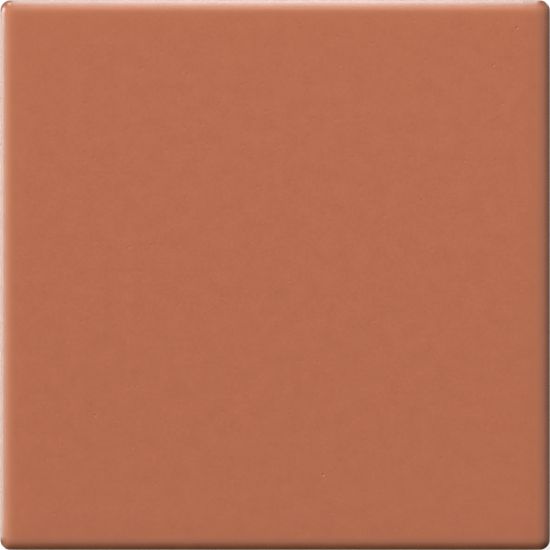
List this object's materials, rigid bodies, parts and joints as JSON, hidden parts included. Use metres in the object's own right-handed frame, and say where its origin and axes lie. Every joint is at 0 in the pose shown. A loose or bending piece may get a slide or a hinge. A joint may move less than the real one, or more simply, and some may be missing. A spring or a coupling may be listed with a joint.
{
  "type": "ceramic tile",
  "caption": "Square glazed ceramic tile with a cushion edge and a keyed back, to be bedded on a wall or floor in plain terracotta colour.",
  "frame": {"origin": "middle of the keyed back, on the plane of its ribs", "axes": "+Z out of the glazed face; +X and +Y along the sides, to the right and to the top of the tile as it is seen from above"},
  "size_m": [0.148, 0.148, 0.007],
  "materials": {
    "glazed_tile": "satin"
  },
  "bodies": {
    "root": {"tile": "glazed_tile"}
  },
  "joints": []
}
